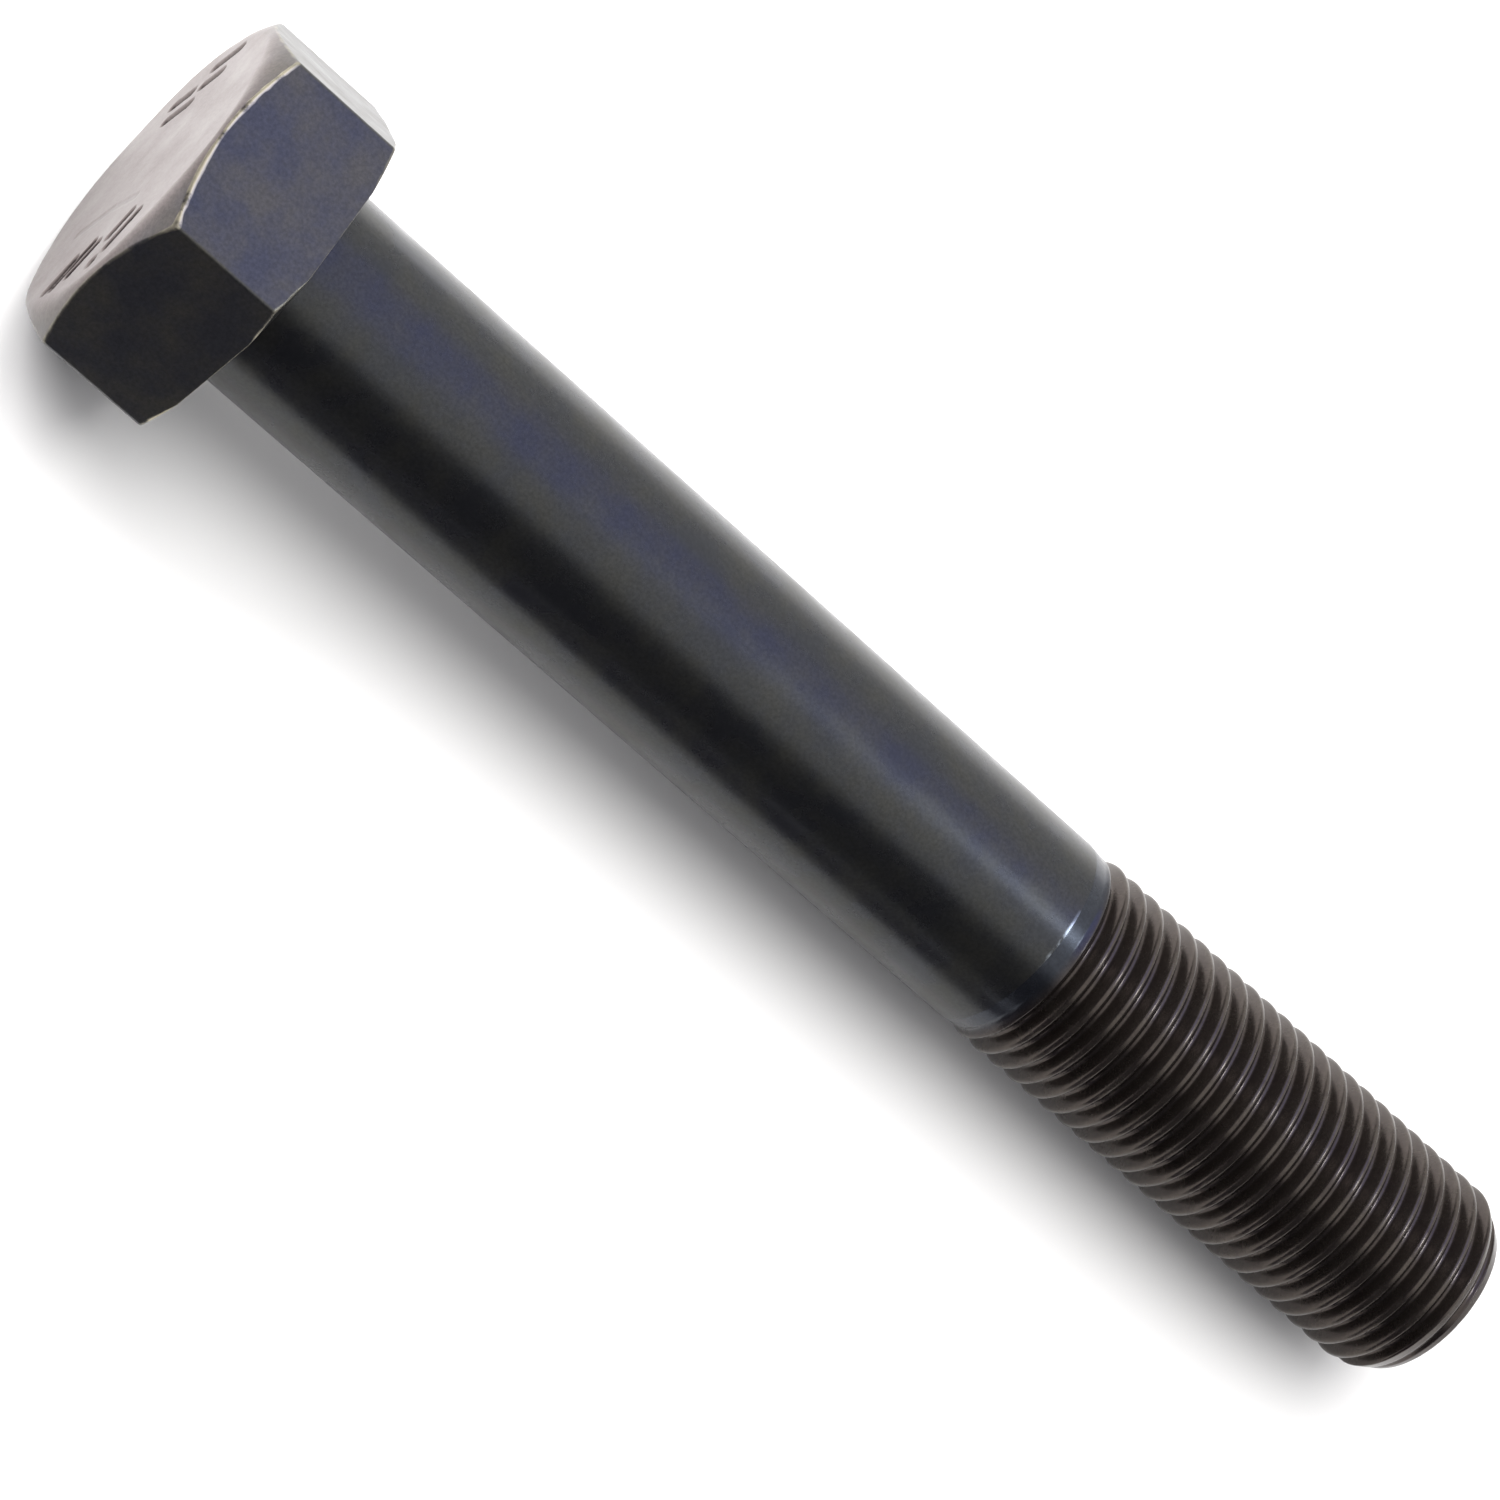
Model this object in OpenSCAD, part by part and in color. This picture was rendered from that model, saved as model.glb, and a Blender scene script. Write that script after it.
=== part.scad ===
// Hex head bolt with a partly threaded shank, M14 x 1.5, nominal length 100 mm.
// Millimetres. The bolt lies along +X: the head fills negative X, and the origin is the centre of the bearing face.
// +Z points out of one of the head's six flats.
// The real bolt is one forging, so its three regions meet face to face.

/* [Head] */
// Width of the head between opposite flats
across_flats = 21; // [20.6:0.1:22]
// Height of the head above the bearing face
head_height = 8.8; // [8:0.1:9.5]
// Diameter of the round top face inside the chamfer
top_face_d = 20.3; // [19:0.1:20.5]
// Angle of the top chamfer, measured from the top face
top_chamfer_angle = 31; // [15:1:35]
// Diameter of the round bearing face, wider than the flats and narrower than the corners
bearing_face_d = 21.9; // [21:0.1:23]
// Angle of the chamfer on the bearing side, measured from the bearing face
bearing_chamfer_angle = 20; // [10:1:30]
// Radius of the fillet where the shank joins the head
fillet_r = 0.7; // [0.6:0.05:0.9]

/* [Shank] */
// Length from the bearing face to the end of the point
bolt_length = 98.5; // [90:0.5:110]
// Diameter of the plain shank
shank_d = 13.75; // [13.5:0.01:14]
// Distance from the bearing face to the end of the plain shank
plain_length = 61; // [40:0.5:70]

/* [Thread] */
// Outside diameter of the thread
thread_d = 14; // [13.8:0.01:14.2]
// Distance between neighbouring crests
pitch = 1.5; // [1:0.25:2]
// Length of the unthreaded conical neck between the plain shank and the first turn
neck_length = 1.5; // [1:0.1:3]
// Diameter of the flat end of the point
point_d = 11.8; // [10:0.1:12.5]
// Angle of the point's chamfer, measured from the axis
point_angle = 30; // [25:1:50]

/* [Hidden] */
$fn = 96;
overlap = 1;
hexagon = 6;
across_corners = across_flats / cos(180 / hexagon);

// Standard metric thread proportions, as shares of the pitch
crest_width = pitch / 8;
root_width = pitch / 4;
flank_width = (pitch - crest_width - root_width) / 2;
thread_depth = 0.6134 * pitch;
pitch_line_depth = 0.3248 * pitch;

crest_r = thread_d / 2;
root_r = crest_r - thread_depth;
neck_r = crest_r - pitch_line_depth;
thread_start = plain_length + neck_length;
turns = floor((bolt_length - thread_start) / pitch);
point_length = (crest_r - point_d / 2) / tan(point_angle);

module along_x() {
    rotate([0, 90, 0]) children();
}

// A cylinder of the given height whose two ends are chamfered by cones, used to trim the hexagon
module chamfer_envelope() {
    top_drop = (across_corners - top_face_d) / 2 * tan(top_chamfer_angle);
    bearing_drop = (across_corners - bearing_face_d) / 2 * tan(bearing_chamfer_angle);
    corner_r = across_corners / 2;
    translate([0, 0, -head_height])
        cylinder(h = top_drop, r1 = top_face_d / 2, r2 = corner_r);
    translate([0, 0, top_drop - head_height])
        cylinder(h = head_height - top_drop - bearing_drop, r = corner_r);
    translate([0, 0, -bearing_drop])
        cylinder(h = bearing_drop, r1 = corner_r, r2 = bearing_face_d / 2);
}

// The stub of shank that carries the fillet under the head
module fillet_stub() {
    shank_r = shank_d / 2;
    translate([0, 0, -overlap])
        cylinder(h = fillet_r + overlap, r = shank_r);
    rotate_extrude()
        difference() {
            translate([0, -overlap])
                square([shank_r + fillet_r, fillet_r + overlap]);
            translate([shank_r + fillet_r, fillet_r])
                circle(r = fillet_r);
        }
}

// Chamfered hexagon, with the fillet that leads into the shank
module head() {
    color("#4d5059")
        along_x() {
            intersection() {
                translate([0, 0, -head_height])
                    rotate([0, 0, 180 / hexagon])
                        cylinder(h = head_height, d = across_corners, $fn = hexagon);
                chamfer_envelope();
            }
            fillet_stub();
        }
}

// Plain round shank, from the end of the fillet to the neck of the thread
module shank() {
    color("#484848")
        along_x()
            translate([0, 0, fillet_r])
                cylinder(h = plain_length - fillet_r, d = shank_d);
}

// Outline of the threaded end: the conical neck, then one crest for each turn
function thread_outline() = concat(
    [[0, plain_length], [shank_d / 2, plain_length], [neck_r, thread_start]],
    [for (turn = [0 : turns - 1]) each crest_outline(thread_start + turn * pitch)],
    [[root_r, bolt_length], [0, bolt_length]]
);

// One turn in section: the rising flank, the crest, the falling flank and the root
function crest_outline(start) = [
    [root_r, start],
    [crest_r, start + flank_width],
    [crest_r, start + flank_width + crest_width],
    [root_r, start + 2 * flank_width + crest_width]
];

// The pointed cylinder that the thread's end is cut to
module point_envelope() {
    body_length = bolt_length - point_length;
    cylinder(h = body_length, r = crest_r + overlap);
    translate([0, 0, body_length])
        cylinder(h = point_length, r1 = crest_r, r2 = point_d / 2);
}

// Threaded end with its neck and chamfered point; every turn is a ring at the true pitch and depth
module thread() {
    color("#43403e")
        along_x()
            intersection() {
                rotate_extrude()
                    polygon(thread_outline());
                point_envelope();
            }
}

head();
shank();
thread();
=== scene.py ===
"""Visual model of a blackened hex bolt, M14 x 1.5 x 100, lying on a pale floor under soft studio light.

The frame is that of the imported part: the bolt lies along +X from the bearing face under its head, and +Z
points out of one flat. Angles round the axis run from +Y towards +Z. Sizes below are in millimetres, and
become metres when a mesh is finished or an object is placed.
"""
import math

import bmesh
import bpy
import numpy as np
from mathutils import Matrix, Vector, noise


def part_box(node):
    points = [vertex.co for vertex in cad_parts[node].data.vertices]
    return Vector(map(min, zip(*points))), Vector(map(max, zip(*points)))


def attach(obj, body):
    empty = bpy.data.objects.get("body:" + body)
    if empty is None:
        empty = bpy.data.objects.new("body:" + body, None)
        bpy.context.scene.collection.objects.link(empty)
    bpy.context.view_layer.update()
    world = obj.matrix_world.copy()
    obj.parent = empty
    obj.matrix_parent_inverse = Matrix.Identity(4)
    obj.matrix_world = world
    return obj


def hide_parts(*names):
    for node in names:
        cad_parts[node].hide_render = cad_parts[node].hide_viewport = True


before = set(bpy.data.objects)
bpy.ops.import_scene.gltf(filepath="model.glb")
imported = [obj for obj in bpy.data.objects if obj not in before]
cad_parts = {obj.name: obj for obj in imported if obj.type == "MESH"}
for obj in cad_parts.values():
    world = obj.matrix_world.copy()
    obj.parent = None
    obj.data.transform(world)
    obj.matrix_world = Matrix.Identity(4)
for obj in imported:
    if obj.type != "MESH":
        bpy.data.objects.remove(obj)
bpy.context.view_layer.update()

MM = 0.001
SHARP_ANGLE = math.radians(55)

# Head
SIDES = 6
ACROSS_FLATS = 21.0
TOP_FACE_R = 10.15
TOP_CHAMFER = math.radians(31)
BEARING_FACE_R = 10.95
BEARING_CHAMFER = math.radians(20)
FILLET_R = 0.7
HUB_R = 0.6
SLIVER = 0.02
CORNER_ROUNDING = 0.35
EDGE_ROUNDING = 0.16
TOP_EDGE_SOFTNESS = 3.5
WORN_EDGE_SOFTNESS = 0.5
LONGEST_CUT = 0.4

# Unevenness of the head's edges and skin: how much, then how wide its lumps are
COARSE_EDGE, COARSE_EDGE_SIZE = 0.55, 1.3
FINE_EDGE, FINE_EDGE_SIZE, FINE_EDGE_SEED = 0.35, 0.45, 3.0
LEAST_ROUNDING = 0.35
FORGED_WAVE, FORGED_WAVE_SIZE = 0.02, 3.0
SKIN_WAVE, SKIN_WAVE_SIZE, SKIN_WAVE_SEED = 0.008, 0.7, 5.0
WAVE_HUB_R = 4.0

# Head mesh. The profile's steps are along the top face, top chamfer, flat, bearing chamfer and bearing face.
CORNER_STEPS = 8
FLAT_STEPS = 72
PROFILE_STEPS = [88, 6, 26, 4, 12]
EDGE_STEPS = 6
FILLET_STEPS = 8

# Wear: the two angles in degrees between which it fades in or out, then its least and its extra amount.
# The shank's wear starts and is full at these distances before its end.
ARRIS_WORN_FROM, ARRIS_WORN_TO = (58, 64), (118, 126)
ARRIS_WEAR, ARRIS_EXTRA_WEAR = 0.15, 0.85
BEARING_WORN_FROM = (122, 130)
BEARING_WEAR, BEARING_EXTRA_WEAR = 0.12, 0.45
SHANK_RUBBED_FROM, SHANK_RUBBED_TO = (80, 92), (108, 122)
SHANK_RUB_START, SHANK_RUB_FULL = 0.22, 0.05

# Painted reflection of the floor on the top face, a pale colour: how far it fades towards the rim, and between
# which distances inside and outside the face's edge. It ends just short of the flats.
PAINTED_REFLECTION_FADE = 0.75
PAINTED_REFLECTION_FADE_INSIDE = 0.6
PAINTED_REFLECTION_FADE_OUTSIDE = 1.2
PAINTED_REFLECTION_RIM = 0.06

# Stamped bars and a dot in place of markings, then two faint scuffs, all darkened with painted shade as much as
# they press in.
# Each is y, z, half its length, the angle of its length from +Y, and its share of the depth.
STROKE_HALF_WIDTH = 0.33
STROKE_DEPTH = 0.26
STROKE_WALL = (0.5, 1.4)
STROKE_MARGIN = 0.5
BARS = [
    (-7.9, -1.3, 1.2, math.radians(28), 1.0),
    (-7.4, -0.1, 1.7, math.radians(28), 1.0),
    (-7.2, 1.1, 1.2, math.radians(28), 1.0),
    (-8.0, 3.5, 0.1, 0.0, 1.0),
    (-5.2, 3.6, 0.9, math.radians(28), 0.9),
    (-5.9, 4.9, 1.3, math.radians(28), 1.0),
    (6.2, -3.9, 1.0, math.radians(72), 1.0),
    (4.9, -2.8, 1.3, math.radians(72), 1.0),
    (6.9, -0.6, 1.0, math.radians(72), 0.9),
    (8.5, -0.5, 1.4, math.radians(72), 0.9),
    (-3.5, -2.6, 1.9, math.radians(73), 0.18),
    (-2.9, 0.9, 1.5, math.radians(88), 0.14),
]

# Shank: its waviness is long along the bolt and short round it
SHANK_COLUMNS = 192
SHANK_ROWS = 121
SHANK_LIP = 0.3
SHANK_LIP_ROWS = (0.2, 0.12, 0.07, 0.03, 0.0)
SHANK_WAVE, SHANK_WAVE_SIZE = 0.002, 2.2
SHANK_WAVE_ALONG, SHANK_WAVE_ROUND = 0.15, 7.0
SHANK_WAVE_FADE = 2.0

# Thread
PITCH = 1.5
THREAD_R = 7.0
CREST_SHARE = 0.2
ROOT_HALF_SHARE = 0.09
FLANK_SLOPE = math.sqrt(3.0)
ROOT_SOFTNESS = 0.12
CREST_SOFTNESS = 0.16
NECK_END = 62.5
NECK_END_R = 6.68
NECK_FADE_START, NECK_FADE_END = 0.6, 0.4
RUN_OUT_START = 61.9
RUN_OUT_END = 63.1
GROOVE_X = 63.2
GROOVE_ANGLE = math.radians(124.2)
POINT_R = 5.9
POINT_ANGLE = math.radians(30)
POINT_SOFTNESS = 0.12
END_LIP_DROP, END_LIP_BULGE, END_LIP_SOFTNESS = 0.25, 1.2, 0.08
END_DISH = [(0.93, 0.03), (0.6, 0.10), (0.2, 0.14)]
CREST_WEAR_DEPTH = 0.25
CREST_WEAR_LAG = 0.5
NICK, NICK_SIZE = 0.0003, 0.9
THREAD_COLUMNS = 160
THREAD_ROWS = 24
SPARE_TURNS = 2
CUT_MERGE = 1e-5
ON_CUT = 1e-3

# Black oxide: sizes of its blotches, grain and chips, and how the noise of each is read
GRAIN_SIZE = 0.22
CHIP_SIZE = 1.6
BLOTCH_NOISE = {"Detail": 5.0, "Roughness": 0.6}
GRAIN_NOISE = {"Detail": 4.0, "Roughness": 0.65}
CHIP_NOISE = {"Detail": 5.0, "Roughness": 0.6}
TINT_FROM, TINT_TO = 0.38, 0.66
SPECKLE_FROM, SPECKLE_TO = 0.35, 0.7
SPECKLE_DARK, SPECKLE_LIGHT = 0.85, 1.18
CHIP_EDGE = 0.12
GLOSS_FROM, GLOSS_TO = 0.3, 0.7
GLOSS_BELOW, GLOSS_ABOVE = 0.05, 0.07
BUMP_HEIGHT = 0.03
METALLIC = 0.85
CREAM_STEEL = (0.88, 0.81, 0.60, 1)
BLUE_STEEL = (0.50, 0.56, 0.62, 1)
LOOKS = {
    "head": {
        "base": (0.056, 0.058, 0.063, 1),
        "tint": (0.076, 0.073, 0.062, 1),
        "bare": CREAM_STEEL,
        "blotch_size": 3.2,
        "roughness": 0.33,
        "wear_amount": 0.9,
        "bump_amount": 0.12,
        "chips_from": 0.38,
        # Head zones: a pale painted reflection of the floor on the top face, and painted shade darkening the
        # pressed bars.
        "zones": {"painted_floor_reflection": (0.184, 0.153, 0.148, 1), "painted_stamp_shade": (0.022, 0.02, 0.02, 1)},
    },
    "shank": {
        "base": (0.039, 0.041, 0.045, 1),
        "tint": (0.046, 0.046, 0.042, 1),
        "bare": BLUE_STEEL,
        "blotch_size": 3.0,
        "roughness": 0.28,
        "wear_amount": 0.6,
        "bump_amount": 0.03,
        "chips_from": 0.45,
        "zones": {},
    },
    "thread": {
        "base": (0.053, 0.043, 0.039, 1),
        "tint": (0.060, 0.050, 0.044, 1),
        "bare": CREAM_STEEL,
        "blotch_size": 1.2,
        "roughness": 0.24,
        "wear_amount": 0.015,
        "bump_amount": 0.02,
        "chips_from": 0.38,
        "zones": {"neck": (0.034, 0.038, 0.047, 1)},
    },
}

# Camera
CAMERA_AZIMUTH = math.radians(-42.241)
CAMERA_ELEVATION = math.radians(60.539)
CAMERA_ROLL = math.radians(79.538)
CAMERA_DISTANCE = 296.68
CAMERA_TARGET = Vector((42.0, -0.81, -4.24))
CAMERA_LENS = 118.84
SENSOR_WIDTH = 36.0
CLIP_START, CLIP_END = 0.01, 20.0

# Floor: half its width is in metres. It touches the crest that lies this far back from the point.
FLOOR_HALF_SIZE = 3.0
FLOOR_CELLS = 8
FLOOR_COLOUR = (0.86, 0.86, 0.86, 1)
FLOOR_ROUGHNESS = 0.9
LAST_CREST = 2.0

# Dark card
FLAG_NEAR = 25.0
FLAG_FAR = 600.0
FLAG_LOW_X = -90.0
FLAG_HIGH_X = 320.0
FLAG_LIFT = 4.0
FLAG_COLOUR = (0.118, 0.108, 0.15, 1)

# Room that the bolt reflects: directions, and the cosines between which each part of it fades in
BRIGHT_SIDE = (0.0, 0.829, 0.559)
BRIGHT_FROM, BRIGHT_TO = -0.13, 0.10
HEAD_END_DARK, HEAD_END_LIT = -0.85, -0.2
WINDOW_SIDE = (0.0, 0.423, 0.906)
WINDOW_FROM, WINDOW_TO = 0.84, 0.93
DARK_ROOM = (0.045, 0.042, 0.06, 1)
BRIGHT_ROOM = (1.24, 1.23, 1.23, 1)
WINDOW_LIGHT = (1.06, 1.10, 1.85, 1)
BACKDROP = (0.70, 0.70, 0.70, 1)

# Lights: name, position, aim, width, watts, colour, and whether only reflections see it
LIGHTS = [
    ("key", (-40, 70, 330), (45, 0, 0), 330, 1.15, (1.0, 0.99, 0.97), False),
    ("side", (45, 180, 110), (45, 50, -10), 120, 0.33, (1.0, 0.98, 0.98), False),
    ("head_side", (-170, 60, 130), (-20, 5, -10), 120, 0.35, (1.0, 0.98, 0.98), False),
    ("glint", (262, 70, 330), (80, 0, 0), 50, 0.27, (0.85, 0.92, 1.0), True),
]


def smooth_step(low, high, value):
    """0 below low, 1 above high, and a smooth rise between them."""
    t = np.clip((value - low) / (high - low), 0.0, 1.0)
    return t * t * (3.0 - 2.0 * t)


def smooth_max(a, b, width):
    """The larger of two values, with the crease between them rounded over width."""
    h = np.clip(0.5 + 0.5 * (a - b) / width, 0.0, 1.0)
    return b + (a - b) * h + width * h * (1.0 - h)


def smooth_min(a, b, width):
    """The smaller of two values, with the crease between them rounded over width."""
    return -smooth_max(-a, -b, width)


def ripple(x, y, z, size, seed=0.0):
    """Smooth noise from about -1 to 1 whose lumps are size millimetres across."""
    return noise.noise(Vector((x / size + seed, y / size - seed, z / size + 2.0 * seed)))


def degrees_round(y, z):
    """The angle of a place round the bolt's axis, from -180 to 180."""
    return math.degrees(math.atan2(z, y))


def join_rings(bm, rings):
    """Faces between neighbouring closed rings of the same number of vertices, and one face over each end."""
    for lower, upper in zip(rings, rings[1:]):
        count = len(lower)
        for i in range(count):
            j = (i + 1) % count
            bm.faces.new((lower[i], lower[j], upper[j], upper[i]))
    bm.faces.new(rings[0])
    bm.faces.new(list(reversed(rings[-1])))


def link_mesh(name, bm):
    """Turns a bmesh in metres into an object in the scene."""
    mesh = bpy.data.meshes.new(name)
    bm.to_mesh(mesh)
    bm.free()
    thing = bpy.data.objects.new(name, mesh)
    bpy.context.scene.collection.objects.link(thing)
    return thing


def finish_piece(name, bm):
    """Turns a closed bmesh in millimetres into an object in metres, smooth except at its sharp edges."""
    bmesh.ops.scale(bm, vec=(MM, MM, MM), verts=bm.verts)
    bmesh.ops.recalc_face_normals(bm, faces=bm.faces)
    piece = link_mesh(name, bm)
    mesh = piece.data
    mesh.polygons.foreach_set("use_smooth", [True] * len(mesh.polygons))
    mesh.set_sharp_from_angle(angle=SHARP_ANGLE)
    return piece


# ---------------------------------------------------------------- head

def hexagon_outline():
    """(y, z) round the head, with a small arc at each corner."""
    apothem = ACROSS_FLATS / 2
    sector = 2 * math.pi / SIDES
    centre_r = (apothem - CORNER_ROUNDING) / math.cos(sector / 2)
    points = []
    for side in range(SIDES):
        corner = side * sector
        centre = np.array((math.cos(corner), math.sin(corner))) * centre_r
        for step in range(CORNER_STEPS):
            a = corner - sector / 2 + sector * step / CORNER_STEPS
            points.append(centre + CORNER_ROUNDING * np.array((math.cos(a), math.sin(a))))
        following = corner + sector
        normal = corner + sector / 2
        offset = CORNER_ROUNDING * np.array((math.cos(normal), math.sin(normal)))
        start = centre + offset
        end = np.array((math.cos(following), math.sin(following))) * centre_r + offset
        for step in range(FLAT_STEPS):
            # closer together near the corners
            t = 0.5 - 0.5 * math.cos(math.pi * step / FLAT_STEPS)
            t = 0.5 * (t + step / FLAT_STEPS)
            points.append(start + (end - start) * t)
    return points


def stroke_depth(y, z):
    """How far the bars and scuffs press in at a place on the top face, as a share of the bars' depth."""
    depth = 0.0
    for bar_y, bar_z, half_length, lean, share in BARS:
        across, along = y - bar_y, z - bar_z
        u = across * math.cos(lean) + along * math.sin(lean)
        v = -across * math.sin(lean) + along * math.cos(lean)
        distance = math.hypot(max(abs(u) - half_length, 0.0), v)
        inner, outer = (STROKE_HALF_WIDTH * wall for wall in STROKE_WALL)
        depth = max(depth, share * float(1.0 - smooth_step(inner, outer, distance)))
    return depth


def rounded_path(corners, cuts, wears, straight_steps, corner_steps):
    """Points along a polyline whose inner corners are rounded, and how worn each point is, 0 to 1."""
    points, edges = [], []
    previous = corners[0]
    for i in range(1, len(corners) - 1):
        here = corners[i]
        back = corners[i - 1] - here
        ahead = corners[i + 1] - here
        cut = min(cuts[i - 1], LONGEST_CUT * np.linalg.norm(back), LONGEST_CUT * np.linalg.norm(ahead))
        enter = here + back / np.linalg.norm(back) * cut
        leave = here + ahead / np.linalg.norm(ahead) * cut
        for step in range(straight_steps[i - 1]):
            points.append(previous + (enter - previous) * step / straight_steps[i - 1])
            edges.append(0.0)
        for step in range(corner_steps):
            t = step / corner_steps
            points.append(enter * (1 - t) ** 2 + here * 2 * t * (1 - t) + leave * t * t)
            edges.append(wears[i - 1] * math.sin(math.pi * t))
        previous = leave
    last = straight_steps[-1]
    for step in range(last + 1):
        points.append(previous + (corners[-1] - previous) * step / last)
        edges.append(0.0)
    return points, edges


def arris_wear(y, z):
    """The edge between chamfer and flat is rubbed bright above the upper flat, and much less elsewhere."""
    angle = degrees_round(y, z)
    upper_flat = smooth_step(*ARRIS_WORN_FROM, angle) * (1.0 - smooth_step(*ARRIS_WORN_TO, angle))
    return ARRIS_WEAR + ARRIS_EXTRA_WEAR * float(upper_flat)


def bearing_wear(y, z):
    """The edge next to the bearing face is rubbed on the flat that faces up and towards -Y."""
    return BEARING_WEAR + BEARING_EXTRA_WEAR * float(smooth_step(*BEARING_WORN_FROM, degrees_round(y, z)))


def edge_unevenness(y, z):
    """How much more or less than usual an edge is rounded at a place round the head."""
    coarse = COARSE_EDGE * ripple(0.0, y, z, COARSE_EDGE_SIZE)
    fine = FINE_EDGE * ripple(FINE_EDGE_SEED, y, z, FINE_EDGE_SIZE)
    return max(LEAST_ROUNDING, 1.0 + coarse + fine)


def head_column(y, z, head_height, shank_r):
    """The head's profile at one place round it, as (x, radius) from the hub of the top face to the shank."""
    wall_r = math.hypot(y, z)
    arris_x = -head_height + (wall_r - TOP_FACE_R) * math.tan(TOP_CHAMFER)
    low_x = -max(wall_r - BEARING_FACE_R, 0.0) * math.tan(BEARING_CHAMFER)
    bearing_r = min(BEARING_FACE_R, wall_r - SLIVER)
    corners = [
        np.array((-head_height, HUB_R)),
        np.array((-head_height, TOP_FACE_R)),
        np.array((arris_x, wall_r)),
        np.array((min(low_x, -SLIVER), wall_r)),
        np.array((0.0, bearing_r - SLIVER)),
        np.array((0.0, shank_r + FILLET_R)),
    ]
    worn = edge_unevenness(y, z)
    arris_cut = EDGE_ROUNDING * worn * (1.0 + WORN_EDGE_SOFTNESS * arris_wear(y, z))
    cuts = [TOP_EDGE_SOFTNESS * EDGE_ROUNDING, arris_cut, EDGE_ROUNDING * worn, EDGE_ROUNDING]
    wears = [0.0, arris_wear(y, z), bearing_wear(y, z), 0.0]
    points, edges = rounded_path(corners, cuts, wears, PROFILE_STEPS, EDGE_STEPS)
    for step in range(1, FILLET_STEPS + 1):
        a = math.pi / 2 * step / FILLET_STEPS
        points.append(np.array((FILLET_R * (1 - math.cos(a)), shank_r + FILLET_R * (1 - math.sin(a)))))
        edges.append(0.0)
    return points, edges


def forged(x, y, z, r):
    """(y, z) of a place on the head, moved by the unevenness of its skin, which stops at the bearing face."""
    if x >= 0.0:
        return y, z
    wobble = FORGED_WAVE * ripple(x, y, z, FORGED_WAVE_SIZE)
    wobble += SKIN_WAVE * ripple(x, y, z, SKIN_WAVE_SIZE, SKIN_WAVE_SEED)
    scale = 1.0 + wobble / max(r, WAVE_HUB_R)
    return y * scale, z * scale


def painted_floor_reflection_share(x, r, wall_r, head_height):
    """How much of the top face's painted reflection of the floor shows: all in the middle, less on the chamfer,
    none below.
    """
    if r > wall_r - PAINTED_REFLECTION_RIM or x > -head_height / 2:
        return 0.0
    return 1.0 - PAINTED_REFLECTION_FADE * float(smooth_step(TOP_FACE_R - PAINTED_REFLECTION_FADE_INSIDE, TOP_FACE_R + PAINTED_REFLECTION_FADE_OUTSIDE, r))


def make_head(head_height, shank_r):
    """The hexagonal head with its chamfers, worn edges and stamped bars, and the fillet under it."""
    bm = bmesh.new()
    wear = bm.verts.layers.float.new("wear")
    painted_floor_reflection = bm.verts.layers.float.new("painted_floor_reflection")
    painted_stamp_shade = bm.verts.layers.float.new("painted_stamp_shade")
    columns = []
    for y, z in hexagon_outline():
        points, edges = head_column(y, z, head_height, shank_r)
        angle = math.atan2(z, y)
        wall_r = math.hypot(y, z)
        column = []
        for (x, r), edge in zip(points, edges):
            py, pz = r * math.cos(angle), r * math.sin(angle)
            on_top = x < -head_height + SLIVER and r < TOP_FACE_R - STROKE_MARGIN
            pressed = stroke_depth(py, pz) if on_top else 0.0
            vert = bm.verts.new((x + pressed * STROKE_DEPTH, *forged(x, py, pz, r)))
            vert[wear] = edge
            # The top face gets a painted reflection of the floor, which fades out on the chamfer.
            vert[painted_floor_reflection] = painted_floor_reflection_share(x, r, wall_r, head_height)
            # Painted shade in the pressed bars and scuffs, as strong as they are deep.
            vert[painted_stamp_shade] = pressed
            column.append(vert)
        columns.append(column)
    join_rings(bm, list(zip(*columns)))
    return finish_piece("bolt_head", bm)


# ---------------------------------------------------------------- shank

def shank_wave(x, y, z, start_x, end_x):
    """The faint waviness of a drawn bar, which fades out at both ends of the shank."""
    place = (x * SHANK_WAVE_ALONG, y * SHANK_WAVE_ROUND, z * SHANK_WAVE_ROUND)
    wave = SHANK_WAVE * ripple(*place, SHANK_WAVE_SIZE)
    start_fade = smooth_step(start_x, start_x + SHANK_WAVE_FADE, x)
    end_fade = smooth_step(-end_x, -end_x + SHANK_WAVE_FADE, -x)
    return wave * float(start_fade * end_fade)


def shank_rub(x, angle, end_x):
    """The shank's end is rubbed bright along a short part of its upper side."""
    degrees = math.degrees(angle)
    rubbed = float(smooth_step(*SHANK_RUBBED_FROM, degrees) * (1 - smooth_step(*SHANK_RUBBED_TO, degrees)))
    return float(smooth_step(end_x - SHANK_RUB_START, end_x - SHANK_RUB_FULL, x)) * rubbed


def make_shank(start_x, end_x, shank_r):
    """The plain shank, with rows close together at its rubbed end."""
    bm = bmesh.new()
    wear = bm.verts.layers.float.new("wear")
    body = list(np.linspace(start_x, end_x - SHANK_LIP, SHANK_ROWS))
    lip = [end_x - offset for offset in SHANK_LIP_ROWS]
    rings = []
    for x in body + lip:
        ring = []
        for i in range(SHANK_COLUMNS):
            a = 2 * math.pi * i / SHANK_COLUMNS
            y, z = math.cos(a), math.sin(a)
            r = shank_r + shank_wave(x, y, z, start_x, end_x)
            vert = bm.verts.new((x, r * y, r * z))
            vert[wear] = shank_rub(x, a, end_x)
            ring.append(vert)
        rings.append(ring)
    join_rings(bm, rings)
    return finish_piece("bolt_shank", bm)


# ---------------------------------------------------------------- thread

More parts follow.
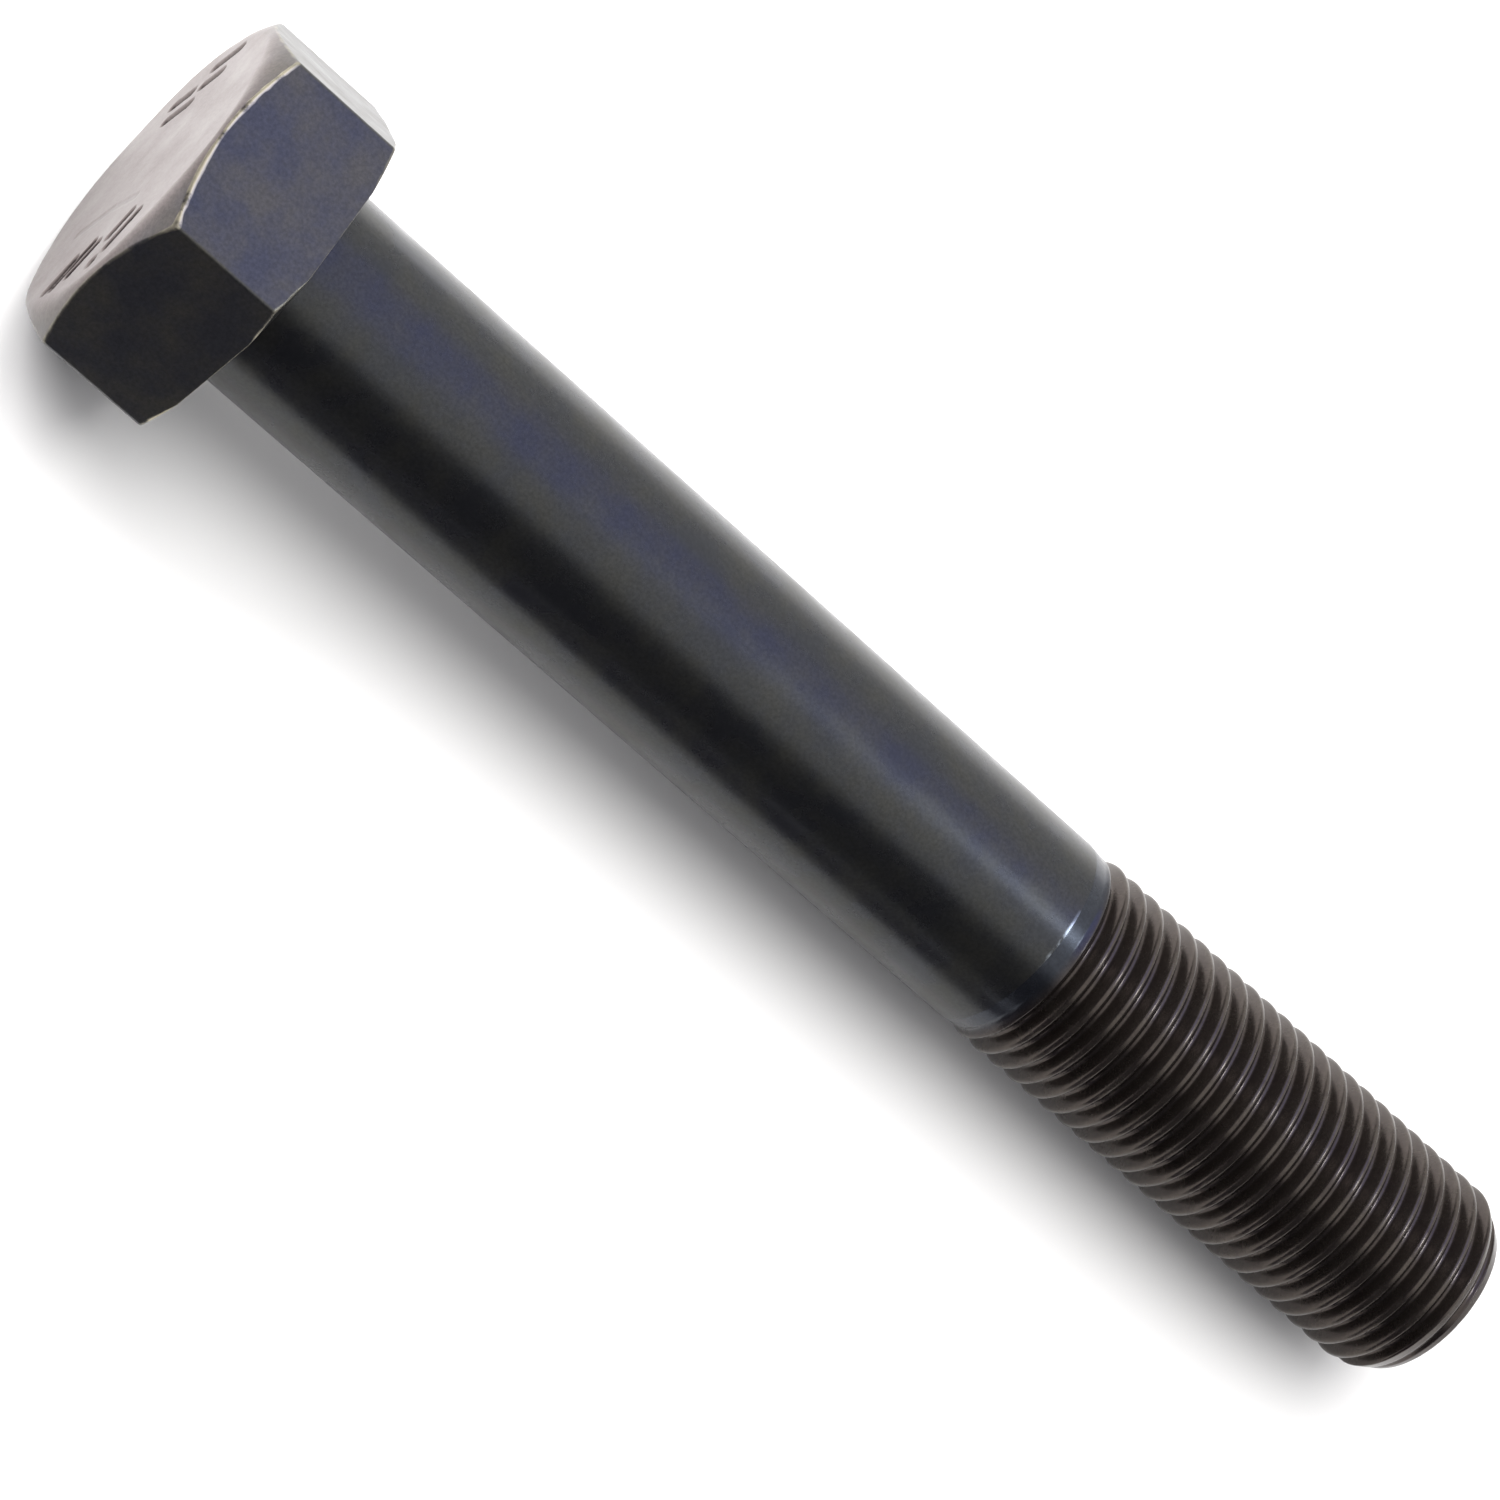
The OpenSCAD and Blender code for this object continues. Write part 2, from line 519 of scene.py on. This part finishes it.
def thread_depth(phase):
    """Depth below the crest at a phase of 0 to 1, with the root at 0. Root and crest are soft."""
    q = np.abs((phase + 0.5) % 1.0 - 0.5)
    flank = (0.5 - CREST_SHARE / 2 - q) * PITCH * FLANK_SLOPE
    root = (0.5 - CREST_SHARE / 2 - ROOT_HALF_SHARE) * PITCH * FLANK_SLOPE
    return smooth_max(smooth_min(flank, root, ROOT_SOFTNESS), 0.0 * q, CREST_SOFTNESS)


def thread_radius(x, phase, shank_r, plain_x, end_x):
    """Radius of the threaded end: the conical neck, the thread growing out of it, and the chamfered point."""
    neck = shank_r + (NECK_END_R - shank_r) * np.clip((x - plain_x) / (NECK_END - plain_x), 0.0, 1.0)
    grown = smooth_step(RUN_OUT_START, RUN_OUT_END, x)
    radius = neck + (THREAD_R - thread_depth(phase) - neck) * grown
    point = POINT_R + (end_x - x) * math.tan(POINT_ANGLE)
    end_lip = POINT_R - END_LIP_DROP + np.sqrt(np.maximum(end_x - x, 0.0) * END_LIP_BULGE)
    return smooth_min(smooth_min(radius, point, POINT_SOFTNESS), end_lip, END_LIP_SOFTNESS)


def thread_strip(bm, layers, angle, start, shank_r, plain_x, end_x):
    """One pitch of thread along a line at one angle, as a strip of vertices from root to root."""
    wear, neck = layers
    phases = np.arange(THREAD_ROWS) / THREAD_ROWS
    xs = start + phases * PITCH
    rs = thread_radius(xs, phases, shank_r, plain_x, end_x)
    crests = 1.0 - np.clip(thread_depth(phases) / CREST_WEAR_DEPTH, 0.0, 1.0)
    crests *= smooth_step(RUN_OUT_START + CREST_WEAR_LAG, RUN_OUT_END + CREST_WEAR_LAG, xs)
    strip = []
    for x, r, crest in zip(xs, rs, crests):
        y, z = r * math.cos(angle), r * math.sin(angle)
        nick = 1.0 + NICK * ripple(x, y, z, NICK_SIZE) * crest
        vert = bm.verts.new((x, nick * r * math.cos(angle), nick * r * math.sin(angle)))
        vert[wear] = crest
        vert[neck] = 1.0 - float(smooth_step(NECK_END - NECK_FADE_START, NECK_END + NECK_FADE_END, x))
        strip.append(vert)
    return strip


def make_thread(plain_x, end_x, shank_r):
    """One right-hand helical surface, wound past both ends and cut off square by planes."""
    bm = bmesh.new()
    layers = [bm.verts.layers.float.new(name) for name in ("wear", "neck")]
    columns = THREAD_COLUMNS
    turns_before = math.ceil((GROOVE_X - plain_x) / PITCH) + SPARE_TURNS
    turns = math.ceil((end_x - GROOVE_X) / PITCH) + turns_before + SPARE_TURNS
    helix = []
    for g in range(turns * columns + 1):
        angle = 2 * math.pi * g / columns
        start = GROOVE_X + PITCH * (g / columns - turns_before - GROOVE_ANGLE / (2 * math.pi))
        helix.append(thread_strip(bm, layers, angle, start, shank_r, plain_x, end_x))
    for g in range(len(helix) - 1 - columns):
        here = helix[g] + [helix[g + columns][0]]
        beside = helix[g + 1] + [helix[g + 1 + columns][0]]
        for i in range(THREAD_ROWS):
            bm.faces.new((here[i], beside[i], beside[i + 1], here[i + 1]))
    cut_square(bm, plain_x, -1, [])
    cut_square(bm, end_x, 1, END_DISH)
    return finish_piece("bolt_thread", bm)


def cut_square(bm, x, side, dish):
    """Cuts the mesh at a plane across the axis, drops what lies beyond on that side, and closes the cut.

    The dish has rings, each with its share of the point's radius and how deep it lies below the cut.
    """
    everything = list(bm.verts) + list(bm.edges) + list(bm.faces)
    bmesh.ops.bisect_plane(
        bm, geom=everything, plane_co=(x, 0, 0), plane_no=(side, 0, 0), clear_outer=True, dist=CUT_MERGE
    )
    loose = [v for v in bm.verts if not v.link_faces]
    bmesh.ops.delete(bm, geom=loose, context="VERTS")
    rim = [e for e in bm.edges if e.is_boundary and all(abs(v.co.x - x) < ON_CUT for v in e.verts)]
    for share, depth in dish:
        grown = bmesh.ops.extrude_edge_only(bm, edges=rim)["geom"]
        rim = [g for g in grown if isinstance(g, bmesh.types.BMEdge) and g.is_boundary]
        for v in {v for e in rim for v in e.verts}:
            r = math.hypot(v.co.y, v.co.z)
            target = share * POINT_R
            v.co = (x - side * depth, v.co.y / r * target, v.co.z / r * target)
    bmesh.ops.contextual_create(bm, geom=rim)


# ---------------------------------------------------------------- materials

def node_adder(owner):
    """Empties a material's or world's node tree, and returns a helper that adds a node and links it."""
    tree = owner.node_tree
    tree.nodes.clear()

    def add(kind, inputs=None, **settings):
        node = tree.nodes.new(kind)
        for key, value in settings.items():
            setattr(node, key, value)
        for key, value in (inputs or {}).items():
            socket = node.inputs[key]
            if isinstance(value, bpy.types.NodeSocket):
                tree.links.new(value, socket)
            else:
                socket.default_value = value
        return node

    return add


def new_material(name):
    """A material with an empty node tree, and the helper that adds nodes to it."""
    material = bpy.data.materials.new(name)
    material.use_nodes = True
    return material, node_adder(material)


def noise_at(add, place, size, reading):
    """Noise whose lumps are size millimetres across."""
    inputs = {"Vector": place, "Scale": 1 / (size * MM), **reading}
    return add("ShaderNodeTexNoise", inputs).outputs["Fac"]


def spread(add, value, low, high, to_low=0.0, to_high=1.0):
    """Stretches a value from low to high so that it runs from to_low to to_high."""
    inputs = {"Value": value, "From Min": low, "From Max": high, "To Min": to_low, "To Max": to_high}
    return add("ShaderNodeMapRange", inputs).outputs["Result"]


def fade_in(add, value, low, high):
    """0 below low, 1 above high, and a smooth rise between them."""
    inputs = {"Value": value, "From Min": low, "From Max": high}
    return add("ShaderNodeMapRange", inputs, interpolation_type="SMOOTHSTEP").outputs["Result"]


def mix_colours(add, share, a, b):
    """Colour a where share is 0, and colour b where it is 1."""
    return add("ShaderNodeMix", {"Factor": share, "A": a, "B": b}, data_type="RGBA").outputs["Result"]


def multiply(add, a, b):
    """The product of two values."""
    return add("ShaderNodeMath", {0: a, 1: b}, operation="MULTIPLY").outputs["Value"]


def attribute(add, name):
    """A number that the mesh holds at each vertex."""
    return add("ShaderNodeAttribute", attribute_name=name).outputs["Fac"]


def blackened_steel(
    name, base, tint, bare, blotch_size, roughness, wear_amount, bump_amount, chips_from, zones
):
    """Black oxide on steel: mottled near-black skin with fine grain, and chips of bare metal at worn places."""
    material, add = new_material(name)
    place = add("ShaderNodeTexCoord").outputs["Object"]
    blotch = noise_at(add, place, blotch_size, BLOTCH_NOISE)
    grain = noise_at(add, place, GRAIN_SIZE, GRAIN_NOISE)
    chips = noise_at(add, place, CHIP_SIZE, CHIP_NOISE)
    skin = mix_colours(add, spread(add, blotch, TINT_FROM, TINT_TO), base, tint)
    # Zone colours are painted over the skin, such as the head's painted floor reflection and the painted shade
    # in its bars.
    for zone, zone_colour in zones.items():
        skin = mix_colours(add, attribute(add, zone), skin, zone_colour)
    speckle = spread(add, grain, SPECKLE_FROM, SPECKLE_TO, SPECKLE_DARK, SPECKLE_LIGHT)
    toned = add("ShaderNodeVectorMath", {0: skin, "Scale": speckle}, operation="SCALE").outputs["Vector"]
    chipped = spread(add, chips, chips_from, chips_from + CHIP_EDGE)
    worn = multiply(add, multiply(add, attribute(add, "wear"), chipped), wear_amount)
    rough = spread(add, blotch, GLOSS_FROM, GLOSS_TO, roughness - GLOSS_BELOW, roughness + GLOSS_ABOVE)
    bump = add("ShaderNodeBump", {"Height": grain, "Strength": bump_amount, "Distance": BUMP_HEIGHT * MM})
    shader = add("ShaderNodeBsdfPrincipled", {
        "Base Color": mix_colours(add, worn, toned, bare),
        "Metallic": METALLIC,
        "Roughness": rough,
        "Normal": bump.outputs["Normal"],
    })
    add("ShaderNodeOutputMaterial", {"Surface": shader.outputs["BSDF"]})
    return material


# ---------------------------------------------------------------- studio

def make_camera():
    """The camera looks down at the bolt from its head end, turned so that the bolt runs corner to corner."""
    az, el, roll = CAMERA_AZIMUTH, CAMERA_ELEVATION, CAMERA_ROLL
    back = Vector((math.sin(az) * math.cos(el), -math.cos(az) * math.cos(el), math.sin(el)))
    right = (-back).cross(Vector((0, 0, 1))).normalized()
    up = right.cross(-back)
    across = right * math.cos(roll) + up * math.sin(roll)
    upward = -right * math.sin(roll) + up * math.cos(roll)
    data = bpy.data.cameras.new("camera")
    data.lens = CAMERA_LENS
    data.sensor_width = SENSOR_WIDTH
    data.clip_start = CLIP_START
    data.clip_end = CLIP_END
    camera = bpy.data.objects.new("camera", data)
    turn = Matrix((across, upward, back)).transposed().to_4x4()
    camera.matrix_world = Matrix.Translation((CAMERA_TARGET + back * CAMERA_DISTANCE) * MM) @ turn
    bpy.context.scene.collection.objects.link(camera)
    bpy.context.scene.camera = camera


def make_floor(head_low, crest_x):
    """A wide pale sheet that touches the head's lowest flat and the lowest crest near the point."""
    slope = math.atan2((-THREAD_R * MM) - head_low, crest_x)
    bm = bmesh.new()
    bmesh.ops.create_grid(bm, x_segments=FLOOR_CELLS, y_segments=FLOOR_CELLS, size=FLOOR_HALF_SIZE)
    floor = link_mesh("floor", bm)
    floor.matrix_world = Matrix.Translation((0, 0, head_low)) @ Matrix.Rotation(-slope, 4, "Y")
    material, add = new_material("pale_floor")
    shader = add("ShaderNodeBsdfPrincipled", {"Base Color": FLOOR_COLOUR, "Roughness": FLOOR_ROUGHNESS})
    add("ShaderNodeOutputMaterial", {"Surface": shader.outputs["BSDF"]})
    floor.data.materials.append(material)


def make_flag(flag_z):
    """A dark card lying in front of the bolt, as in a dark-field set-up. Only reflections see it."""
    bm = bmesh.new()
    near, far, low, high = (v * MM for v in (FLAG_NEAR, FLAG_FAR, FLAG_LOW_X, FLAG_HIGH_X))
    corners = [(low, -near), (high, -near), (high, -far), (low, -far)]
    bm.faces.new([bm.verts.new((x, y, flag_z)) for x, y in corners])
    flag = link_mesh("flag", bm)
    material, add = new_material("flag_card")
    glow = add("ShaderNodeEmission", {"Color": FLAG_COLOUR, "Strength": 1.0})
    add("ShaderNodeOutputMaterial", {"Surface": glow.outputs["Emission"]})
    flag.data.materials.append(material)
    flag.visible_camera = False
    flag.visible_diffuse = False
    flag.visible_shadow = False


def facing(add, direction, side):
    """The cosine of the angle between a direction and a side of the room."""
    return add("ShaderNodeVectorMath", {0: direction, 1: side}, operation="DOT_PRODUCT").outputs["Value"]


def make_world():
    """A softly lit room: bright overhead and towards +Y, dark low down, towards -Y and beyond the head.

    Reflections also see a bluish window overhead, and the camera sees a plain grey backdrop.
    """
    world = bpy.data.worlds.new("studio")
    bpy.context.scene.world = world
    world.use_nodes = True
    add = node_adder(world)
    rays = add("ShaderNodeLightPath").outputs
    direction = add("ShaderNodeTexCoord").outputs["Generated"]
    along = add("ShaderNodeSeparateXYZ", {"Vector": direction}).outputs["X"]
    bright = fade_in(add, facing(add, direction, BRIGHT_SIDE), BRIGHT_FROM, BRIGHT_TO)
    lit = multiply(add, bright, fade_in(add, along, HEAD_END_DARK, HEAD_END_LIT))
    window = fade_in(add, facing(add, direction, WINDOW_SIDE), WINDOW_FROM, WINDOW_TO)
    sky = mix_colours(add, multiply(add, window, rays["Is Glossy Ray"]), BRIGHT_ROOM, WINDOW_LIGHT)
    room = add("ShaderNodeBackground", {"Color": mix_colours(add, lit, DARK_ROOM, sky), "Strength": 1.0})
    seen = add("ShaderNodeBackground", {"Color": BACKDROP, "Strength": 1.0})
    sources = {0: rays["Is Camera Ray"], 1: room.outputs["Background"], 2: seen.outputs["Background"]}
    mixed = add("ShaderNodeMixShader", sources)
    add("ShaderNodeOutputWorld", {"Surface": mixed.outputs["Shader"]})


def make_light(name, position, aim, width, watts, colour, mirrored):
    """A round soft light, which either only reflections see or only reflections don't see."""
    data = bpy.data.lights.new(name, "AREA")
    data.shape = "DISK"
    data.size = width * MM
    data.energy = watts
    data.color = colour
    lamp = bpy.data.objects.new(name, data)
    away = (Vector(position) - Vector(aim)).normalized()
    lamp.rotation_euler = away.to_track_quat("Z", "Y").to_euler()
    lamp.location = Vector(position) * MM
    bpy.context.scene.collection.objects.link(lamp)
    lamp.visible_glossy = mirrored
    lamp.visible_diffuse = not mirrored


# ---------------------------------------------------------------- bolt and studio

def make_bolt():
    """The three regions of the bolt, each in the place of its CAD node."""
    head_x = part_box("head")[0].x / MM
    shank_low, shank_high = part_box("shank")
    thread_low, thread_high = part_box("thread")
    shank_r = shank_high.z / MM
    pieces = {
        "head": make_head(-head_x, shank_r),
        "shank": make_shank(shank_low.x / MM, shank_high.x / MM, shank_r),
        "thread": make_thread(thread_low.x / MM, thread_high.x / MM, shank_r),
    }
    for node, piece in pieces.items():
        piece.data.materials.append(blackened_steel(node + "_steel", **LOOKS[node]))
        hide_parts(node)
        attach(piece, "root")


def make_studio():
    """Camera, floor, room, dark card and lights."""
    head_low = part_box("head")[0].z
    point_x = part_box("thread")[1].x
    make_camera()
    make_floor(head_low, point_x - LAST_CREST * MM)
    make_world()
    make_flag(head_low + FLAG_LIFT * MM)
    for light in LIGHTS:
        make_light(*light)
    bpy.context.scene.view_settings.view_transform = "Standard"


make_bolt()
make_studio()
